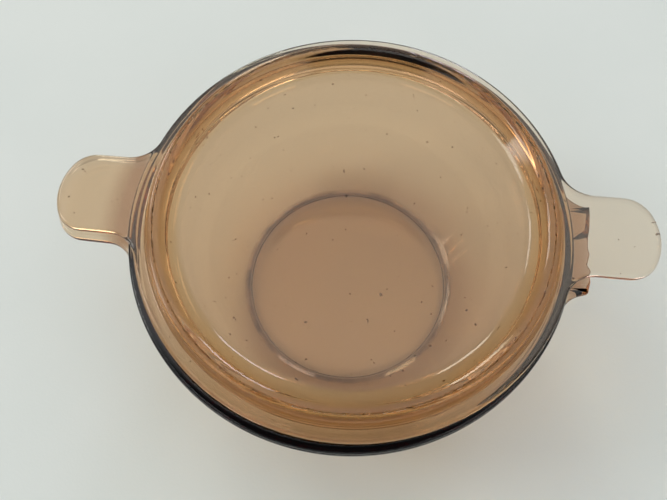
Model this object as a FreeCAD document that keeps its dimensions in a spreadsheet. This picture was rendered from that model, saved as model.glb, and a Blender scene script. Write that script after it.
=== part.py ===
"""Round casserole of pressed amber glass: a dish and a loose lid, each with two finger tabs.

Millimetres. The origin is the middle of the dish's foot, on the table.
+Z is up and the dish's tabs lie along X. The tab at +X is broken off the dish,
and a jagged stub is left.
"""
import math
import os

import FreeCAD
import Part
import Sketcher

# name, value, what it is. Heights are above the table unless they say otherwise.
SIZES = [
    ("lid_radius", 105.0, "outside of the lid's flange"),
    ("lid_flange_thick", 4.4, "lid flange and lid tabs"),
    ("lid_gap", 0.2, "between the dish's rim and the lid's flange"),
    ("lid_shift_x", 1.2, "the loose lid sits this far off centre"),
    ("lid_shift_y", 2.5, "the loose lid sits this far off centre"),
    ("lid_turn", 1.1, "degrees that the loose lid is turned on the dish"),
    ("lid_tab_tip", 144.7, "lid centre to the end of a tab"),
    ("dish_radius", 106.5, "outside of the wall below the rim"),
    ("dish_height", 93.0, "top of the rim"),
    ("wall_thick", 5.0, "wall at the rim"),
    ("wall_draft", 0.3, "how far the inside narrows between the rim and the belly"),
    ("belly_level", 79.0, "where the wall starts to curve in"),
    ("foot_radius", 64.0, "outside of the flat foot"),
    ("foot_inner", 60.0, "inside of the ring that the dish stands on"),
    ("foot_recess", 0.5, "hollow under the base"),
    ("floor_level", 5.5, "inside floor"),
    ("floor_radius", 59.5, "where the floor meets the wall"),
    ("floor_round", 14.0, "radius between floor and wall"),
    ("heel_round", 4.0, "radius between foot and wall"),
    ("rim_round", 1.6, "radius of the rim's edges"),
    ("collar_radius", 107.0, "outside of the collar that carries the dish's tabs"),
    ("collar_inner", 103.5, "the collar reaches this far into the wall"),
    ("collar_drop", 4.0, "rim down to the top of the collar and tabs"),
    ("collar_thick", 5.0, "collar and dish tabs"),
    ("dish_tab_tip", 146.5, "dish centre to the end of a tab"),
    ("lid_tab_half", 20.8, "half the width of a lid tab"),
    ("dish_tab_half", 22.2, "half the width of a dish tab"),
    ("tab_root", 15.0, "radius between a tab and the rim"),
    ("tab_corner", 14.5, "radius at a tab's corners"),
    ("tab_end", 28.0, "radius of a tab's end"),
    ("tab_edge", 2.1, "rounding of the edges of tabs and flange"),
    ("stub_reach", 115.0, "dish centre to the break in the +X tab"),
    ("break_lean", 8.0, "how far the broken face leans back under its top edge"),
    ("break_lip", 0.8, "depth of the upright part at the top of the broken face"),
    ("plate_radius", 83.5, "flat middle of the lid"),
    ("plate_drop", 2.1, "flange top down to the plate"),
    ("plate_thick", 4.4, "plate in the middle of the lid"),
    ("ring_rise", 5.8, "flange top up to the raised ring"),
    ("ring_inner", 91.5, "inside of the raised ring's crest"),
    ("ring_outer", 96.5, "outside of the raised ring's crest"),
    ("ring_foot", 98.7, "where the raised ring meets the flange"),
    ("locator_outer", 98.0, "outside of the ring that drops into the mouth"),
    ("locator_inner", 93.5, "inside of the ring that drops into the mouth"),
    ("locator_drop", 4.7, "flange underside down to the end of that ring"),
    ("plate_sweep", 4.0, "radius where the plate rises to the raised ring"),
    ("crest_inner_round", 4.0, "radius inside the raised ring's crest"),
    ("crest_outer_round", 3.0, "radius outside the raised ring's crest"),
    ("ring_foot_round", 1.5, "radius between the raised ring and the flange"),
    ("under_round", 1.0, "radius between the plate's underside and the ring that drops into the mouth"),
    ("locator_round", 1.2, "radius at the end of the ring that drops into the mouth"),
]


class Size:
    """A number together with the spreadsheet expression that it comes from."""

    def __init__(self, value, text):
        self.value = float(value)
        self.text = text

    def _with(self, other, sign, value):
        other = as_size(other)
        return Size(value(self.value, other.value), f"({self.text} {sign} {other.text})")

    def __add__(self, other):
        return self._with(other, "+", lambda a, b: a + b)

    def __sub__(self, other):
        return self._with(other, "-", lambda a, b: a - b)

    def __mul__(self, other):
        return self._with(other, "*", lambda a, b: a * b)

    def __truediv__(self, other):
        return self._with(other, "/", lambda a, b: a / b)

    def __neg__(self):
        return Size(-self.value, f"(0 - {self.text})")

    def root(self):
        return Size(self.value**0.5, f"sqrt({self.text})")


def as_size(number):
    return number if isinstance(number, Size) else Size(number, f"{float(number)}")


doc = FreeCAD.newDocument("casserole")
sheet = doc.addObject("Spreadsheet::Sheet", "Sizes")
SIZE = {}
for row, (name, value, words) in enumerate(SIZES, start=1):
    sheet.set(f"A{row}", name)
    sheet.set(f"B{row}", str(value))
    sheet.set(f"C{row}", words)
    sheet.setAlias(f"B{row}", name)
    SIZE[name] = Size(value, f"Sizes.{name}")
doc.recompute()


def line(x, y):
    """Outline step: a straight run to (x, y)."""
    return ("line", as_size(x), as_size(y), None, 0)


def arc(x, y, radius, turn):
    """Outline step: an arc of that radius to (x, y), turning left for +1 and right for -1."""
    return ("arc", as_size(x), as_size(y), as_size(radius), turn)


def arc_geometry(start, end, radius, turn):
    """The circle arc from start to end.

    Sketch arcs always run anticlockwise, so a right turn is stored reversed.
    """
    a = FreeCAD.Vector(start[0], start[1], 0)
    b = FreeCAD.Vector(end[0], end[1], 0)
    if turn < 0:
        a, b = b, a
    chord = b - a
    half = chord.Length / 2
    rise = max(radius**2 - half**2, 0.0) ** 0.5
    left = FreeCAD.Vector(-chord.y, chord.x, 0).normalize()
    centre = (a + b) * 0.5 + left * rise
    angles = [FreeCAD.Vector(1, 0, 0).getAngle(p - centre) * (1 if p.y >= centre.y else -1) for p in (a, b)]
    if angles[1] < angles[0]:
        angles[1] += 2 * math.pi
    circle = Part.Circle(centre, FreeCAD.Vector(0, 0, 1), radius)
    return Part.ArcOfCircle(circle, angles[0], angles[1])


def bind(sketch, kind, refs, size):
    """Adds one driving dimension and ties it to the spreadsheet."""
    index = sketch.addConstraint(Sketcher.Constraint(kind, *refs, size.value))
    sketch.setExpression(f"Constraints[{index}]", size.text)


def pin_point(sketch, geo, pos, x, y):
    """Places one end of a curve at (x, y), measured from the sketch's origin."""
    for kind, size, axis in (("DistanceX", x, -2), ("DistanceY", y, -1)):
        if abs(size.value) < 1e-9:
            sketch.addConstraint(Sketcher.Constraint("PointOnObject", geo, pos, axis))
        else:
            bind(sketch, kind, (-1, 1, geo, pos), size)


def draw(sketch, start, steps):
    """Draws a closed outline from start through steps; the spreadsheet drives every corner and radius."""
    corner = (as_size(start[0]), as_size(start[1]))
    first = before = None
    for kind, x, y, radius, turn in steps:
        a = (corner[0].value, corner[1].value)
        b = (x.value, y.value)
        if kind == "line":
            curve = Part.LineSegment(FreeCAD.Vector(*a, 0), FreeCAD.Vector(*b, 0))
            ends = (1, 2)
        else:
            curve = arc_geometry(a, b, radius.value, turn)
            ends = (1, 2) if turn > 0 else (2, 1)
        geo = sketch.addGeometry(curve, False)
        if before:
            sketch.addConstraint(Sketcher.Constraint("Coincident", *before, geo, ends[0]))
        else:
            first = (geo, ends[0])
        before = (geo, ends[1])
        if radius:
            bind(sketch, "Radius", (geo,), radius)
        pin_point(sketch, geo, ends[0], *corner)
        corner = (x, y)
    sketch.addConstraint(Sketcher.Constraint("Coincident", *before, *first))


def ring_hole(sketch, radius):
    """Draws a circle round the sketch's origin."""
    circle = Part.Circle(FreeCAD.Vector(0, 0, 0), FreeCAD.Vector(0, 0, 1), radius.value)
    geo = sketch.addGeometry(circle, False)
    sketch.addConstraint(Sketcher.Constraint("Coincident", geo, 3, -1, 1))
    bind(sketch, "Radius", (geo,), radius)


def new_body(label):
    body = doc.addObject("PartDesign::Body", label)
    body.Label = label
    return body


def new_sketch(body, name, role, level=None):
    """A sketch on one of the body's own origin planes, raised to level."""
    plane = next(f for f in body.Origin.OriginFeatures if f.Role == role)
    sketch = body.newObject("Sketcher::SketchObject", name)
    sketch.AttachmentSupport = [(plane, "")]
    sketch.MapMode = "FlatFace"
    if level:
        sketch.setExpression(".AttachmentOffset.Base.z", level.text)
    doc.recompute()
    return sketch


def pad(body, sketch, name, length):
    feature = body.newObject("PartDesign::Pad", name)
    feature.Profile = sketch
    feature.setExpression("Length", length.text)
    doc.recompute()
    return feature


def pocket(body, sketch, name, length, sides):
    """Cuts the sketch's outline out of the body, upwards or to both sides of the sketch."""
    feature = body.newObject("PartDesign::Pocket", name)
    feature.Profile = sketch
    feature.SideType = sides
    feature.Reversed = sides == "One side"
    feature.setExpression("Length", length.text)
    doc.recompute()
    return feature


def turn_about_z(body, sketch, name):
    """Revolves a profile drawn in the XZ plane once round Z."""
    feature = body.newObject("PartDesign::Revolution", name)
    feature.Profile = sketch
    feature.ReferenceAxis = (sketch, ["V_Axis"])
    feature.Angle = 360
    doc.recompute()
    return feature


def round_edges(body, base, name, radius, wanted):
    """Rounds every edge of base that wanted(edge) picks."""
    names = [f"Edge{i}" for i, edge in enumerate(base.Shape.Edges, start=1) if wanted(edge)]
    if not names:
        raise ValueError(f"{name}: no edge to round")
    feature = body.newObject("PartDesign::Fillet", name)
    feature.Base = (base, names)
    feature.setExpression("Radius", radius.text)
    doc.recompute()
    return feature


def is_ring(radius, level):
    """Picks the circles of that radius at that height."""

    def test(edge):
        point = edge.Vertexes[0].Point
        away = abs(math.hypot(point.x, point.y) - radius.value)
        return away < 1e-4 and abs(edge.BoundBox.ZMin - level.value) < 1e-4 and edge.BoundBox.ZLength < 1e-4

    return test


def outside(radius):
    """Picks the level edges that lie wholly outside a circle."""

    def test(edge):
        level = edge.BoundBox.ZLength < 1e-4
        return level and all(math.hypot(p.x, p.y) > radius.value + 1 for p in edge.discretize(5))

    return test


def tabbed_outline(sketch, radius, tip, half):
    """Draws a circle with a finger tab at each end of the X axis, all joints smooth."""
    root, corner, end = (SIZE[n] for n in ("tab_root", "tab_corner", "tab_end"))
    rise = half + root
    root_x = ((radius + root) * (radius + root) - rise * rise).root()
    share = radius / (radius + root)
    end_x = tip - end
    lean = end - corner
    corner_x = end_x + (lean * lean - (half - corner) * (half - corner)).root()
    stretch = end / lean
    meet_x = end_x + (corner_x - end_x) * stretch
    meet_y = (half - corner) * stretch
    tab = [
        arc(root_x, -half, root, -1),
        line(corner_x, -half),
        arc(meet_x, -meet_y, corner, 1),
        arc(meet_x, meet_y, end, 1),
        arc(corner_x, half, corner, 1),
        line(root_x, half),
        arc(root_x * share, rise * share, root, -1),
        arc(-(root_x * share), rise * share, radius, 1),
    ]
    far_tab = [(kind, -x, -y, r, way) for kind, x, y, r, way in tab]
    draw(sketch, (root_x * share, -(rise * share)), tab + far_tab)


def make_dish():
    body = new_body("dish")
    s = SIZE
    top = s["dish_height"]
    collar_top = top - s["collar_drop"]
    collar_low = collar_top - s["collar_thick"]

    plan = new_sketch(body, "collar_plan", "XY_Plane", collar_low)
    tabbed_outline(plan, s["collar_radius"], s["dish_tab_tip"], s["dish_tab_half"])
    ring_hole(plan, s["collar_inner"])
    collar = pad(body, plan, "collar", s["collar_thick"])
    collar = round_edges(body, collar, "collar_edges", s["tab_edge"], outside(s["collar_inner"]))

    # The break in the +X tab, from its near side to its far side.
    # Each point is a share of the tab's half width, and how far past stub_reach it lies.
    broken = [(-1.4, -1.2), (-1.0, -1.0), (-0.75, 0.3), (-0.52, 0.0), (-0.4, -1.5), (-0.14, -0.2)]
    broken += [(0.0, -0.9), (0.25, -0.6), (0.42, 0.2), (0.78, 0.8), (1.4, 0.5)]
    reach, half, lean = s["stub_reach"], s["dish_tab_half"], s["break_lean"]
    clear = s["dish_tab_tip"] + s["tab_root"]
    edge = [(reach + past, half * share) for share, past in broken]
    cut = new_sketch(body, "break_plan", "XY_Plane", collar_low - 1)
    draw(cut, edge[0], [line(clear, edge[0][1]), line(clear, edge[-1][1])] + [line(*p) for p in edge[::-1]])
    pocket(body, cut, "break_off", s["collar_thick"] + 2, "One side")

    # In its middle the broken face leans back under its top edge.
    lip = collar_top - s["break_lip"]
    below = collar_low - s["break_lip"]
    middle = half * -0.22
    under = new_sketch(body, "break_section", "XZ_Plane", -middle)
    corners = [(reach - lean, below), (clear, below), (clear, lip), (reach - s["break_lip"], lip)]
    draw(under, corners[0], [line(*p) for p in corners[1:] + corners[:1]])
    pocket(body, under, "break_under", half, "Symmetric")

    wall = new_sketch(body, "wall_profile", "XZ_Plane")
    out, bend, foot = s["dish_radius"], s["belly_level"], s["foot_radius"]
    mouth = out - s["wall_thick"]
    inside = mouth - s["wall_draft"]
    floor, floor_r = s["floor_level"], s["floor_radius"]
    rim = s["rim_round"]

    def tangent(reach, rise):
        """Radius of an arc that starts level and ends upright, reach further out and rise higher."""
        return (reach * reach + rise * rise) / (reach * 2)

    draw(
        wall,
        (0, s["foot_recess"]),
        [
            line(s["foot_inner"], s["foot_recess"]),
            line(s["foot_inner"] + s["foot_recess"], 0),
            line(foot, 0),
            arc(out, bend, tangent(out - foot, bend), 1),
            line(out, top - rim),
            arc(out - rim, top, rim, 1),
            line(mouth + rim, top),
            arc(mouth, top - rim, rim, 1),
            line(inside, bend),
            arc(floor_r, floor, tangent(inside - floor_r, bend - floor), -1),
            line(0, floor),
            line(0, s["foot_recess"]),
        ],
    )
    bowl = turn_about_z(body, wall, "wall")
    heel = round_edges(body, bowl, "heel", s["heel_round"], is_ring(foot, as_size(0)))
    round_edges(body, heel, "floor_corner", s["floor_round"], is_ring(floor_r, floor))
    return body


def make_lid():
    body = new_body("lid")
    s = SIZE
    low = s["dish_height"] + s["lid_gap"]
    top = low + s["lid_flange_thick"]

    plan = new_sketch(body, "flange_plan", "XY_Plane", low)
    tabbed_outline(plan, s["lid_radius"], s["lid_tab_tip"], s["lid_tab_half"])
    ring_hole(plan, s["locator_inner"])
    flange = pad(body, plan, "flange", s["lid_flange_thick"])
    round_edges(body, flange, "flange_edges", s["tab_edge"], outside(s["locator_inner"]))

    plate = top - s["plate_drop"]
    plate_low = plate - s["plate_thick"]
    crest = top + s["ring_rise"]
    end = low - s["locator_drop"]
    section = new_sketch(body, "plate_profile", "XZ_Plane")
    draw(
        section,
        (0, plate_low),
        [
            line(s["locator_inner"], plate_low),
            line(s["locator_inner"], end),
            line(s["locator_outer"], end),
            line(s["locator_outer"], low),
            line(s["ring_foot"] + s["tab_edge"], low),
            line(s["ring_foot"] + s["tab_edge"], top),
            line(s["ring_foot"], top),
            line(s["ring_outer"], crest),
            line(s["ring_inner"], crest),
            line(s["plate_radius"], plate),
            line(0, plate),
            line(0, plate_low),
        ],
    )
    shape = turn_about_z(body, section, "plate")
    for radius, level, rounding in (
        ("plate_radius", plate, "plate_sweep"),
        ("ring_inner", crest, "crest_inner_round"),
        ("ring_outer", crest, "crest_outer_round"),
        ("ring_foot", top, "ring_foot_round"),
        ("locator_inner", plate_low, "under_round"),
        ("locator_inner", end, "locator_round"),
        ("locator_outer", end, "locator_round"),
    ):
        name = f"{rounding}_{radius}"
        shape = round_edges(body, shape, name, s[rounding], is_ring(s[radius], level))
    return body


def export(body):
    for item in body.Group + [body]:
        if {"Invalid", "Error"} & set(item.State):
            raise ValueError(f"{body.Label}: {item.Label} is {item.State}")
    if body.Shape.isNull() or not body.Shape.isValid() or len(body.Shape.Solids) != 1:
        raise ValueError(f"{body.Label} is not one good solid")
    body.Shape.exportStep(os.path.join("parts", f"{body.Label}.step"))


os.makedirs("parts", exist_ok=True)
dish = make_dish()
lid = make_lid()
lid.setExpression(".Placement.Base.x", SIZE["lid_shift_x"].text)
lid.setExpression(".Placement.Base.y", SIZE["lid_shift_y"].text)
lid.setExpression(".Placement.Rotation.Angle", SIZE["lid_turn"].text)
doc.recompute()
for part in (dish, lid):
    export(part)
    box = part.Shape.BoundBox
    print(part.Label, [round(v, 2) for v in (box.XMin, box.XMax, box.YMin, box.YMax, box.ZMin, box.ZMax)])
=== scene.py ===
"""Looks of the tab-handled glass casserole: amber glass dish and lid on a pale table, in metres."""

import math

import bpy
from mathutils import Euler, Matrix, Vector, noise


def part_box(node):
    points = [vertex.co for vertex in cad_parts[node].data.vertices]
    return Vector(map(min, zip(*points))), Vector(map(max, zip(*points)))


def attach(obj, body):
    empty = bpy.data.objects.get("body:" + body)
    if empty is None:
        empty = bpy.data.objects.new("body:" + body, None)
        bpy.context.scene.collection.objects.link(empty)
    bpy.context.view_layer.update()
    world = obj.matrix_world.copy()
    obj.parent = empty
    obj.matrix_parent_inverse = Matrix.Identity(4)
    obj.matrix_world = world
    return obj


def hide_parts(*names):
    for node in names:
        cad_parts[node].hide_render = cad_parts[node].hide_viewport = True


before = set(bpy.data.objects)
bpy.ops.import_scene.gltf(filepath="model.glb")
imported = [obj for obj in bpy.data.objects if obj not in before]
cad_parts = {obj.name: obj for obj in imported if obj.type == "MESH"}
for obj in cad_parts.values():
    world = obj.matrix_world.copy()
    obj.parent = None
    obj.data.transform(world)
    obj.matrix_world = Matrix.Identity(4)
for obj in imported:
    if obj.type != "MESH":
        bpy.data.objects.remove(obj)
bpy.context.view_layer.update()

MM = 0.001
# The dish, as in the CAD model, in millimetres.
DISH_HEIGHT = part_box("dish")[1][2] / MM
WALL_RADIUS = 106.5
WALL_THICK = 5.0
WALL_DRAFT = 0.3
BELLY_LEVEL = 79.0
FOOT_RADIUS = 64.0
FOOT_INNER = 60.0
FOOT_RECESS = 0.5
FLOOR_LEVEL = 5.5
FLOOR_RADIUS = 59.5
FLOOR_ROUND = 14.0
HEEL_ROUND = 4.0
RIM_ROUND = 1.6
COLLAR_RADIUS = 107.0
COLLAR_TOP = DISH_HEIGHT - 4.0
COLLAR_LOW = COLLAR_TOP - 5.0
DISH_TAB_TIP = 146.5
STUB_REACH = 115.0
# The lid.
LID_LOW = DISH_HEIGHT + 0.2
LID_TOP = LID_LOW + 4.4
LID_RADIUS = 105.0
LID_TAB_TIP = 144.7
LID_SHIFT = Vector((1.2, 2.5, 0.0))
LID_TURN = math.radians(1.1)
PLATE_RADIUS = 83.5
PLATE_TOP = LID_TOP - 2.1
PLATE_LOW = PLATE_TOP - 4.4
RING_CREST = LID_TOP + 5.8
RING_INNER = 91.5
RING_OUTER = 96.5
RING_FOOT = 98.7
LOCATOR_OUTER = 98.0
LOCATOR_INNER = 93.5
LOCATOR_END = LID_LOW - 4.7
# Finger tabs of both.
LID_TAB_HALF = 20.8
DISH_TAB_HALF = 22.2
TAB_ROOT = 15.0
TAB_CORNER = 14.5
TAB_END = 28.0
TAB_EDGE = 2.1

# What the glass takes out of white light: the tint that is left, and how fast in each piece.
GLASS_TINT = (0.76, 0.508, 0.14, 1)
DISH_DENSITY = 165.0
LID_DENSITY = 100.0

ARC_STEP = math.radians(9.0)  # turn between points on a small rounding
OUTLINE_STEP = 1.25  # between points along a plan outline
HUB_RADIUS = 0.5  # the circle where the fan over the middle starts
FOOT_ROUND = 0.3
BREAK_STEP = 0.45  # between points along the broken edge
BREAK_MARGIN = 0.2  # the last point of the sound outline stays this far from the break
STUB_CLEAR = 0.6  # the broken face stays this far out from the wall
BREAK_LIP = 0.5  # height of the broken face's upright top
BREAK_GRAIN = 0.5  # roughness of the broken face


def arc_points(centre, radius, start, end, step):
    """Points on an arc, both ends included, with the outward direction at each."""
    count = max(2, round(abs(end - start) / step))
    out = []
    for i in range(count + 1):
        a = start + (end - start) * i / count
        direction = Vector((math.cos(a), math.sin(a)))
        out.append((centre + direction * radius, direction))
    return out


def rounded_path(corners, step=ARC_STEP, guard=0.7):
    """The points of a path through (radius, height, rounding) corners.

    A guard point beside each arc keeps the flat parts flat when the skin is smoothed.
    """
    points = []
    for i, (r, z, rounding) in enumerate(corners):
        here = Vector((r, z))
        if not rounding or i in (0, len(corners) - 1):
            points.append(here)
            continue
        back = Vector(corners[i - 1][:2]) - here
        ahead = Vector(corners[i + 1][:2]) - here
        back_room, ahead_room = back.length, ahead.length
        back.normalize()
        ahead.normalize()
        half = math.acos(max(-1.0, min(1.0, back.dot(ahead)))) / 2
        reach = rounding / math.tan(half)
        centre = here + (back + ahead).normalized() * (rounding / math.sin(half))
        first, last = here + back * reach, here + ahead * reach
        a = math.atan2(*(first - centre).yx)
        b = math.atan2(*(last - centre).yx)
        turn = (b - a + math.pi) % (2 * math.pi) - math.pi
        if back_room - reach > 2 * guard:
            points.append(first + back * guard)
        points += [p for p, _ in arc_points(centre, rounding, a, a + turn, step)]
        if ahead_room - reach > 2 * guard:
            points.append(last + ahead * guard)
    kept = [points[0]]
    for p in points[1:]:
        if (p - kept[-1]).length > 1e-4:
            kept.append(p)
    return kept


def tab_outline(radius, tip, half_width, step):
    """One finger tab about +X, near root to far root: points with their outward normals."""
    rise = half_width + TAB_ROOT
    root = Vector((math.sqrt((radius + TAB_ROOT) ** 2 - rise**2), rise))
    end_x = tip - TAB_END
    lean = TAB_END - TAB_CORNER
    corner_y = half_width - TAB_CORNER
    corner = Vector((end_x + math.sqrt(lean**2 - corner_y**2), corner_y))
    root_angle = math.atan2(root.y, root.x)
    meet_angle = math.atan2(corner.y, corner.x - end_x)
    half = []
    for p, out in arc_points(Vector((end_x, 0)), TAB_END, 0, meet_angle, step / TAB_END):
        half.append((p, out))
    half += arc_points(corner, TAB_CORNER, meet_angle, math.pi / 2, step / TAB_CORNER)[1:]
    run = corner.x - root.x
    count = max(2, round(run / step))
    for i in range(1, count + 1):
        half.append((Vector((corner.x - run * i / count, half_width)), Vector((0, 1))))
    bend = arc_points(root, TAB_ROOT, -math.pi / 2, root_angle - math.pi, step / TAB_ROOT)[1:]
    half += [(p, -out) for p, out in bend]
    near = [(Vector((p.x, -p.y)), Vector((n.x, -n.y))) for p, n in half[:0:-1]]
    return near + half, root_angle


def tabbed_outline(radius, tip, half_width, step=OUTLINE_STEP, far_tab=None):
    """The whole plan outline, anticlockwise from the tab at +X (or far_tab in its place)."""
    tab, root_angle = tab_outline(radius, tip, half_width, step)
    middle = Vector((0, 0))
    sweep = arc_points(middle, radius, root_angle, math.pi - root_angle, step / radius)[1:-1]
    out = []
    for sign in (1, -1):
        chosen = far_tab(tab) if far_tab and sign > 0 else tab
        out += [(p * sign, n * sign) for p, n in chosen + sweep]
    return out


class Shell:
    """A closed skin over one plan outline, from rows of points that each go once round."""

    def __init__(self, outline, inner, broken=False):
        self.outline = outline
        self.broken = broken
        self.angles = [math.atan2(p.y, p.x) for p, _ in outline]
        self.room = [max(p.length - inner, 0.05) for p, _ in outline]
        self.rows = []

    def ring(self, radius, level):
        """A circle."""
        self.rows.append([(radius * math.cos(a), radius * math.sin(a), level) for a in self.angles])

    def edge_point(self, i, inset, level):
        point, normal = self.outline[i]
        take = inset * min(1.0, 0.8 * self.room[i] / TAB_EDGE)
        if self.broken and normal.x > 0.99 and abs(point.x - break_reach(point.y)) < 0.01:
            take *= 0.1
        point = point - normal * take
        if self.broken and point.x > 0 and point.length > COLLAR_RADIUS:
            wall = math.sqrt(max(0.0, WALL_RADIUS**2 - point.y**2)) + STUB_CLEAR
            limit = max(wall, break_reach(point.y, level)) - 0.1 * inset
            point = Vector((min(point.x, limit), point.y))
        return point

    def edge(self, inset, level, from_radius=None, share=1.0):
        """The outline moved inwards by inset, or that share of the way to it from a circle."""
        row = []
        for i, a in enumerate(self.angles):
            p = self.edge_point(i, inset, level)
            if from_radius is not None:
                start = Vector((math.cos(a), math.sin(a))) * from_radius
                p = start.lerp(p, share)
            row.append((p.x, p.y, level))
        self.rows.append(row)

    def path(self, points):
        for p in points:
            self.ring(p.x, p.y)

    def flange(self, start, end, low, top):
        """Out along the underside to the outline, round its edge, and back along the top."""
        round_off = TAB_EDGE
        spread = (0.02, 0.06, 0.15, 0.3, 0.5, 0.7, 0.85, 0.94)
        for share in spread:
            self.edge(round_off + 0.5, low, start, share)
        self.edge(round_off + 0.5, low, start, 1.0)
        steps = 8
        for i in range(steps + 1):
            a = math.pi / 2 * i / steps
            self.edge(round_off * (1 - math.sin(a)), low + round_off * (1 - math.cos(a)))
        for i in range(steps + 1):
            a = math.pi / 2 * i / steps
            self.edge(round_off * (1 - math.cos(a)), top - round_off * (1 - math.sin(a)))
        self.edge(round_off + 0.5, top)
        for share in spread[::-1]:
            self.edge(round_off + 0.5, top, end, share)

    def build(self, name, matrix=None):
        """Joins the rows, closes both ends with a fan, and returns the object in metres."""
        count = len(self.outline)
        first, last = self.rows[0][0][2], self.rows[-1][0][2]
        verts = [(0, 0, first)] + [v for row in self.rows for v in row] + [(0, 0, last)]
        faces = []
        for i in range(count):
            j = (i + 1) % count
            faces.append((0, 1 + j, 1 + i))
            top = 1 + (len(self.rows) - 1) * count
            faces.append((len(verts) - 1, top + i, top + j))
        for r in range(len(self.rows) - 1):
            a, b = 1 + r * count, 1 + (r + 1) * count
            for i in range(count):
                j = (i + 1) % count
                faces.append((a + i, a + j, b + j, b + i))
        mesh = bpy.data.meshes.new(name)
        mesh.from_pydata([Vector(v) * MM for v in verts], [], faces)
        mesh.polygons.foreach_set("use_smooth", [True] * len(mesh.polygons))
        if matrix:
            mesh.transform(matrix)
        mesh.update()
        mesh.validate()
        obj = bpy.data.objects.new(name, mesh)
        bpy.context.scene.collection.objects.link(obj)
        return obj


def tangent_arc(low, high, step):
    """Points from low up to high on the arc that is upright at high."""
    reach, rise = high.x - low.x, high.y - low.y
    radius = (reach**2 + rise**2) / (2 * reach)
    centre = Vector((high.x - radius, high.y))
    start = math.atan2(low.y - centre.y, low.x - centre.x)
    return [p for p, _ in arc_points(centre, radius, start, 0.0, step / radius)]


def make_dish_shell():
    outline = tabbed_outline(COLLAR_RADIUS, DISH_TAB_TIP, DISH_TAB_HALF, far_tab=break_off)
    shell = Shell(outline, WALL_RADIUS, broken=True)
    mouth = WALL_RADIUS - WALL_THICK
    inside = mouth - WALL_DRAFT
    outer = tangent_arc(Vector((FOOT_RADIUS, 0)), Vector((WALL_RADIUS, BELLY_LEVEL)), 3.0)
    outer = [p for p in outer if p.y < COLLAR_LOW - 1.0]
    start = [(HUB_RADIUS, FOOT_RECESS, 0), (FOOT_INNER, FOOT_RECESS, FOOT_ROUND)]
    start += [(FOOT_INNER + FOOT_RECESS, 0, FOOT_ROUND), (FOOT_RADIUS, 0, HEEL_ROUND)]
    under = rounded_path(start + [(*outer[3], 0)])
    shell.path(under + outer[4:])
    shell.ring(WALL_RADIUS, COLLAR_LOW - 0.2)
    shell.flange(WALL_RADIUS, WALL_RADIUS, COLLAR_LOW, COLLAR_TOP)
    inner = tangent_arc(Vector((FLOOR_RADIUS, FLOOR_LEVEL)), Vector((inside, BELLY_LEVEL)), 3.0)
    rim = [(WALL_RADIUS, COLLAR_TOP, 0), (WALL_RADIUS, DISH_HEIGHT, RIM_ROUND * 0.99)]
    rim += [(mouth, DISH_HEIGHT, RIM_ROUND), (inside, BELLY_LEVEL, 0)]
    shell.path(rounded_path(rim))
    shell.path(inner[-2:6:-1])
    floor = [(*inner[6], 0), (FLOOR_RADIUS, FLOOR_LEVEL, FLOOR_ROUND), (HUB_RADIUS, FLOOR_LEVEL, 0)]
    shell.path(rounded_path(floor))
    return shell


def break_off(tab):
    """The +X tab of the dish, cut off along a jagged line."""
    kept_near = [t for t in tab if t[0].y < 0 and t[0].x < STUB_REACH]
    kept_far = [t for t in tab if t[0].y > 0 and t[0].x < STUB_REACH]
    kept_near = [t for t in kept_near if t[0].x < break_reach(t[0].y) - BREAK_MARGIN]
    kept_far = [t for t in kept_far if t[0].x < break_reach(t[0].y) - BREAK_MARGIN]
    low, high = kept_near[-1][0].y, kept_far[0][0].y
    count = round((high - low) / BREAK_STEP)
    points = []
    for i in range(1, count):
        y = low + (high - low) * i / count
        points.append((Vector((break_reach(y), y)), Vector((1, 0))))
    return kept_near + points + kept_far


# The broken edge: (share of the half width, millimetres past the mean reach).
BREAK_LINE = [(-1.4, -1.2), (-1.0, -1.0), (-0.75, 0.3), (-0.52, 0.0), (-0.4, -1.5), (-0.14, -0.2)]
BREAK_LINE += [(0.0, -0.9), (0.25, -0.6), (0.42, 0.2), (0.78, 0.8), (1.4, 0.5)]
# How far the broken face leans back under its top edge: (share of the half width, millimetres).
BREAK_LEAN = [(-1.4, 1.5), (-0.9, 2.0), (-0.7, 7.0), (0.15, 8.0), (0.5, 1.0), (1.4, 0.6)]


def along(table, y):
    """The value of a table of (share of the half width, value) at y."""
    share = max(table[0][0], min(table[-1][0], y / DISH_TAB_HALF))
    for (s0, v0), (s1, v1) in zip(table, table[1:]):
        if share <= s1:
            return v0 + (v1 - v0) * (share - s0) / (s1 - s0)
    return table[-1][1]


def break_reach(y, level=None):
    """How far out the stub reaches at y, at its top edge or at a level below it."""
    reach = STUB_REACH + along(BREAK_LINE, y)
    if level is None:
        return reach
    start = COLLAR_TOP - BREAK_LIP
    depth = max(0.0, start - level) / (start - COLLAR_LOW)
    grain = noise.noise(Vector((y * 0.35, level * 0.5, 3.0))) * BREAK_GRAIN * min(1.0, depth * 3)
    return reach - along(BREAK_LEAN, y) * depth**1.3 + grain


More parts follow.
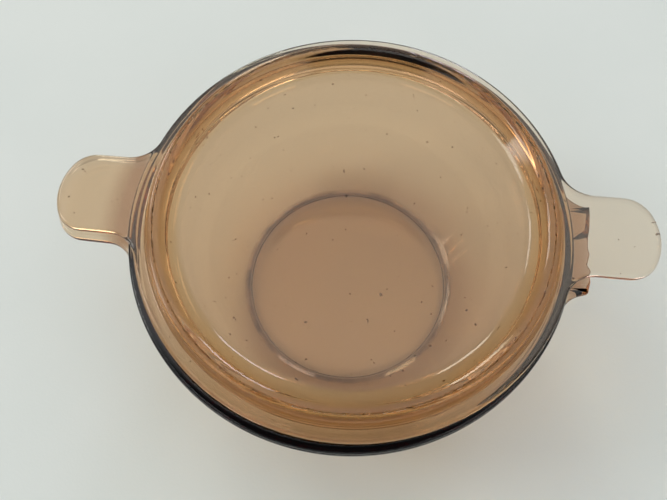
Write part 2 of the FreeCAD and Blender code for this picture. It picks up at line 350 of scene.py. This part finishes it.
def make_lid_shell():
    shell = Shell(tabbed_outline(LID_RADIUS, LID_TAB_TIP, LID_TAB_HALF), LOCATOR_OUTER)
    under = [
        (HUB_RADIUS, PLATE_LOW, 0),
        (LOCATOR_INNER, PLATE_LOW, 1.0),
        (LOCATOR_INNER, LOCATOR_END, 1.2),
        (LOCATOR_OUTER, LOCATOR_END, 1.5),
        (LOCATOR_OUTER, LID_LOW, 0.8),
        (LOCATOR_OUTER + 2.0, LID_LOW, 0),
    ]
    shell.path(rounded_path(under))
    shell.flange(LOCATOR_OUTER + 2.0, RING_FOOT + 3.0, LID_LOW, LID_TOP)
    above = [
        (RING_FOOT + 3.0, LID_TOP, 0),
        (RING_FOOT, LID_TOP, 1.5),
        (RING_OUTER, RING_CREST, 3.0),
        (RING_INNER, RING_CREST, 4.0),
        (PLATE_RADIUS, PLATE_TOP, 4.0),
        (HUB_RADIUS, PLATE_TOP, 0),
    ]
    shell.path(rounded_path(above))
    return shell


def noise_mask(nodes, links, place, scale, low, high, detail=2.0):
    """A noise field turned into a mask: 0 below low, 1 above high."""
    field = nodes.new("ShaderNodeTexNoise")
    field.inputs["Scale"].default_value = scale
    field.inputs["Detail"].default_value = detail
    links.new(place, field.inputs["Vector"])
    mask = nodes.new("ShaderNodeMapRange")
    mask.interpolation_type = "SMOOTHSTEP"
    mask.inputs["From Min"].default_value = low
    mask.inputs["From Max"].default_value = high
    links.new(field.outputs["Fac"], mask.inputs["Value"])
    return mask.outputs["Result"]


def combine(nodes, links, operation, a, b):
    """One math node on two sockets or numbers."""
    node = nodes.new("ShaderNodeMath")
    node.operation = operation
    for socket, value in zip(node.inputs, (a, b)):
        if isinstance(value, (int, float)):
            socket.default_value = value
        else:
            links.new(value, socket)
    return node.outputs[0]


def ramp_between(nodes, links, value, points):
    """The product of smooth steps, each given as (from, to, value before, value after)."""
    result = None
    for low, high, start, end in points:
        step = nodes.new("ShaderNodeMapRange")
        step.interpolation_type = "SMOOTHSTEP"
        step.inputs["From Min"].default_value = low
        step.inputs["From Max"].default_value = high
        step.inputs["To Min"].default_value = start
        step.inputs["To Max"].default_value = end
        links.new(value, step.inputs["Value"])
        out = step.outputs["Result"]
        result = out if result is None else combine(nodes, links, "MULTIPLY", result, out)
    return result


def glass(name, seed, density, painted_dish_shade=False):
    """Amber glass, darkened by its own depth, with smears, scratches, specks and faint ripples; on
    the dish also painted shade at the foot ring and the tab roots.
    """
    mat = bpy.data.materials.new(name)
    mat.use_nodes = True
    nodes, links = mat.node_tree.nodes, mat.node_tree.links
    shader = nodes["Principled BSDF"]
    shader.inputs["Transmission Weight"].default_value = 1.0
    shader.inputs["IOR"].default_value = 1.5
    depth = nodes.new("ShaderNodeVolumeAbsorption")
    depth.inputs["Color"].default_value = GLASS_TINT
    depth.inputs["Density"].default_value = density
    links.new(depth.outputs["Volume"], nodes["Material Output"].inputs["Volume"])
    coords = nodes.new("ShaderNodeTexCoord")
    shift = nodes.new("ShaderNodeVectorMath")
    shift.operation = "ADD"
    shift.inputs[1].default_value = (seed * 0.37, seed * 0.11, seed * 0.23)
    links.new(coords.outputs["Object"], shift.inputs[0])
    place = shift.outputs[0]

    smears = noise_mask(nodes, links, place, 22.0, 0.48, 0.75, 6.0)
    stretch = nodes.new("ShaderNodeMapping")
    stretch.inputs["Rotation"].default_value = (0, 0, math.radians(31))
    stretch.inputs["Scale"].default_value = (18, 900, 18)
    links.new(place, stretch.inputs["Vector"])
    scratches = noise_mask(nodes, links, stretch.outputs["Vector"], 1.0, 0.66, 0.72, 1.0)
    patches = noise_mask(nodes, links, place, 16.0, 0.5, 0.62)
    scratches = combine(nodes, links, "MULTIPLY", scratches, patches)
    rough = combine(nodes, links, "MULTIPLY", smears, 0.05)
    rough = combine(nodes, links, "ADD", rough, combine(nodes, links, "MULTIPLY", scratches, 0.16))
    links.new(rough, shader.inputs["Roughness"])

    # Dust specks, and on the dish painted shade in a ring where its foot meets the table, darker in
    # patches.
    specks_and_painted_shade = noise_mask(nodes, links, place, 420.0, 0.855, 0.875, 0.0)
    if painted_dish_shade:
        split = nodes.new("ShaderNodeSeparateXYZ")
        links.new(coords.outputs["Object"], split.inputs[0])
        x, y = (combine(nodes, links, "POWER", split.outputs[i], 2.0) for i in (0, 1))
        away = combine(nodes, links, "SQRT", combine(nodes, links, "ADD", x, y), 0.0)
        ring = ramp_between(nodes, links, away, [(0.0605, 0.0622, 0, 1), (0.0638, 0.0662, 1, 0)])
        low = ramp_between(nodes, links, split.outputs["Z"], [(0.0008, 0.0028, 1, 0)])
        uneven_shade = combine(nodes, links, "ADD", noise_mask(nodes, links, place, 60.0, 0.3, 0.7), 0.45)
        ring = combine(nodes, links, "MULTIPLY", combine(nodes, links, "MULTIPLY", ring, low), uneven_shade)
        # The specks are dust; the ring added here is painted shade.
        specks_and_painted_shade = combine(nodes, links, "MAXIMUM", specks_and_painted_shade, combine(nodes, links, "MULTIPLY", ring, 0.5))
    # The glass's own white; on the dish it is mixed with the painted root shade below.
    glass_with_root_shade = nodes.new("ShaderNodeMix")
    glass_with_root_shade.data_type = "RGBA"
    glass_with_root_shade.inputs[0].default_value = 0.0
    glass_with_root_shade.inputs[6].default_value = (1, 1, 1, 1)
    glass_with_root_shade.inputs[7].default_value = (0.66, 0.50, 0.42, 1)
    if painted_dish_shade:
        # Painted shade: a brown tint on the roots of the dish's tabs, in place of the deeper shade
        # seen there.
        side = combine(nodes, links, "ABSOLUTE", split.outputs["Y"], 0.0)
        root = ramp_between(nodes, links, away, [(0.1062, 0.1085, 0, 1), (0.1110, 0.1250, 1, 0)])
        across = ramp_between(nodes, links, side, [(0.021, 0.030, 1, 0)])
        root = combine(nodes, links, "MULTIPLY", root, across)
        high = ramp_between(nodes, links, split.outputs["Z"], [(0.0825, 0.0838, 0, 1)])
        links.new(combine(nodes, links, "MULTIPLY", root, high), glass_with_root_shade.inputs[0])
    colour = nodes.new("ShaderNodeMix")
    colour.data_type = "RGBA"
    links.new(specks_and_painted_shade, colour.inputs[0])
    links.new(glass_with_root_shade.outputs[2], colour.inputs[6])
    colour.inputs[7].default_value = (0.16, 0.11, 0.08, 1)
    links.new(colour.outputs[2], shader.inputs["Base Color"])

    ripple = nodes.new("ShaderNodeTexNoise")
    ripple.inputs["Scale"].default_value = 26.0
    ripple.inputs["Detail"].default_value = 1.0
    links.new(place, ripple.inputs["Vector"])
    groove = combine(nodes, links, "MULTIPLY", scratches, 0.02)
    height = combine(nodes, links, "SUBTRACT", ripple.outputs["Fac"], groove)
    bump = nodes.new("ShaderNodeBump")
    bump.inputs["Strength"].default_value = 1.0
    bump.inputs["Distance"].default_value = 0.00012
    links.new(height, bump.inputs["Height"])
    links.new(bump.outputs["Normal"], shader.inputs["Normal"])
    return mat


TABLE_HALF = 3.0
TABLE_DROP = 0.0004  # a plane level with the foot's underside shows as dark bands


def make_table():
    mesh = bpy.data.meshes.new("table")
    s, z = TABLE_HALF, -TABLE_DROP
    mesh.from_pydata([(-s, -s, z), (s, -s, z), (s, s, z), (-s, s, z)], [], [(0, 1, 2, 3)])
    obj = bpy.data.objects.new("table", mesh)
    bpy.context.scene.collection.objects.link(obj)
    mat = bpy.data.materials.new("table_top")
    mat.use_nodes = True
    nodes, links = mat.node_tree.nodes, mat.node_tree.links
    shader = nodes["Principled BSDF"]
    shader.inputs["Roughness"].default_value = 0.62
    coords = nodes.new("ShaderNodeTexCoord")
    clouds = noise_mask(nodes, links, coords.outputs["Object"], 9.0, 0.3, 0.7, 4.0)
    tone = nodes.new("ShaderNodeMix")
    tone.data_type = "RGBA"
    links.new(clouds, tone.inputs[0])
    tone.inputs[6].default_value = (0.73, 0.775, 0.735, 1)
    tone.inputs[7].default_value = (0.75, 0.79, 0.75, 1)
    links.new(tone.outputs[2], shader.inputs["Base Color"])
    grain = nodes.new("ShaderNodeTexNoise")
    grain.inputs["Scale"].default_value = 700.0
    links.new(coords.outputs["Object"], grain.inputs["Vector"])
    bump = nodes.new("ShaderNodeBump")
    bump.inputs["Distance"].default_value = 0.00004
    links.new(grain.outputs["Fac"], bump.inputs["Height"])
    links.new(bump.outputs["Normal"], shader.inputs["Normal"])
    obj.data.materials.append(mat)
    return obj


# Patches of the room: (azimuth, elevation, half width, half height in degrees, colour, radiance).
WINDOWS = [
    (77, 17, 7, 8, (0.86, 0.84, 1.0), 8.0),
    (115, 20, 6, 11, (1.0, 0.96, 0.82), 8.0),
    (147, 36, 8, 9, (1.0, 0.97, 0.92), 6.0),
    (180, 38, 8, 12, (1.0, 1.0, 0.98), 5.0),
]
VIEWER = (-90, 68, 22, 30, (0.9, 0.95, 1.0), 0.06)


def make_room():
    """The light: pale ceiling, dim walls, soft-edged windows, and a dark patch for the viewer."""
    world = bpy.data.worlds.new("room")
    bpy.context.scene.world = world
    world.use_nodes = True
    nodes, links = world.node_tree.nodes, world.node_tree.links
    coords = nodes.new("ShaderNodeTexCoord")
    split = nodes.new("ShaderNodeSeparateXYZ")
    links.new(coords.outputs["Generated"], split.inputs[0])
    ramp = nodes.new("ShaderNodeValToRGB")
    links.new(split.outputs["Z"], ramp.inputs["Fac"])
    stops = [(0.0, 0.18), (0.25, 0.24), (0.5, 0.54), (0.8, 1.06), (1.0, 1.28)]
    ramp.color_ramp.elements[0].position = stops[0][0]
    ramp.color_ramp.elements[1].position = stops[-1][0]
    for position, _ in stops[1:-1]:
        ramp.color_ramp.elements.new(position)
    for element, (_, value) in zip(ramp.color_ramp.elements, stops):
        element.color = (value * 0.98, value, value * 1.02, 1)
    total = ramp.outputs["Color"]

    def patch(azimuth, elevation, half_width, half_height):
        """A soft-edged mask about one direction."""
        a, e = math.radians(azimuth), math.radians(elevation)
        forward = Vector((math.cos(a) * math.cos(e), math.sin(a) * math.cos(e), math.sin(e)))
        side = Vector((-math.sin(a), math.cos(a), 0))
        up = forward.cross(side)
        masks = []
        for axis, half in ((side, half_width), (up, half_height), (forward, None)):
            dot = nodes.new("ShaderNodeVectorMath")
            dot.operation = "DOT_PRODUCT"
            dot.inputs[1].default_value = axis
            links.new(coords.outputs["Generated"], dot.inputs[0])
            fade = nodes.new("ShaderNodeMapRange")
            fade.interpolation_type = "SMOOTHSTEP"
            value = dot.outputs["Value"]
            if half is None:
                limits = (0.0, 0.2)
            else:
                size = nodes.new("ShaderNodeMath")
                size.operation = "ABSOLUTE"
                links.new(value, size.inputs[0])
                value = size.outputs[0]
                reach = math.sin(math.radians(half))
                limits = (reach * 1.12, reach * 0.88)
            fade.inputs["From Min"].default_value, fade.inputs["From Max"].default_value = limits
            links.new(value, fade.inputs["Value"])
            masks.append(fade.outputs["Result"])
        for other in masks[1:]:
            both = nodes.new("ShaderNodeMath")
            both.operation = "MULTIPLY"
            links.new(masks[0], both.inputs[0])
            links.new(other, both.inputs[1])
            masks[0] = both.outputs[0]
        return masks[0]

    for azimuth, elevation, half_width, half_height, colour, radiance in WINDOWS + [VIEWER]:
        mask = patch(azimuth, elevation, half_width, half_height)
        mix = nodes.new("ShaderNodeMix")
        mix.data_type = "RGBA"
        links.new(mask, mix.inputs[0])
        links.new(total, mix.inputs[6])
        mix.inputs[7].default_value = (*(c * radiance for c in colour), 1)
        total = mix.outputs[2]
    links.new(total, nodes["Background"].inputs["Color"])
    nodes["Background"].inputs["Strength"].default_value = 1.0


# The viewer's eye: degrees, and millimetres from the middle of the dish.
CAMERA_YAW, CAMERA_PITCH, CAMERA_ROLL = 8.64, 22.06, -1.89
CAMERA_X, CAMERA_Y, CAMERA_ABOVE_LID = 9.9, -119.0, 253.0


def make_camera():
    data = bpy.data.cameras.new("camera")
    data.sensor_width = 36.0
    data.lens = 31.72
    data.clip_start = 0.01
    obj = bpy.data.objects.new("camera", data)
    yaw, pitch, roll = (math.radians(a) for a in (CAMERA_YAW, CAMERA_PITCH, CAMERA_ROLL))
    turn = Euler((0, 0, yaw)).to_matrix() @ Euler((pitch, 0, 0)).to_matrix()
    turn = turn @ Euler((0, 0, roll)).to_matrix()
    place = Vector((CAMERA_X, CAMERA_Y, LID_TOP + CAMERA_ABOVE_LID)) * MM
    obj.matrix_world = Matrix.Translation(place) @ turn.to_4x4()
    bpy.context.scene.collection.objects.link(obj)
    bpy.context.scene.camera = obj


dish = make_dish_shell().build("dish_glass")
seat = Matrix.Translation(LID_SHIFT * MM) @ Matrix.Rotation(LID_TURN, 4, "Z")
lid = make_lid_shell().build("lid_glass", seat)
dish.data.materials.append(glass("amber_dish", 1, DISH_DENSITY, painted_dish_shade=True))
lid.data.materials.append(glass("amber_lid", 2, LID_DENSITY))
for piece, body, slot in ((dish, "dish", "dish_glass"), (lid, "lid", "lid_glass")):
    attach(piece, body)
    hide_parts(body)

make_table()
make_camera()
make_room()
bpy.context.scene.view_settings.view_transform = "Standard"
cycles = bpy.context.scene.cycles
cycles.max_bounces = 48
cycles.transmission_bounces = 48
cycles.glossy_bounces = 32
cycles.diffuse_bounces = 12
cycles.blur_glossy = 0.0
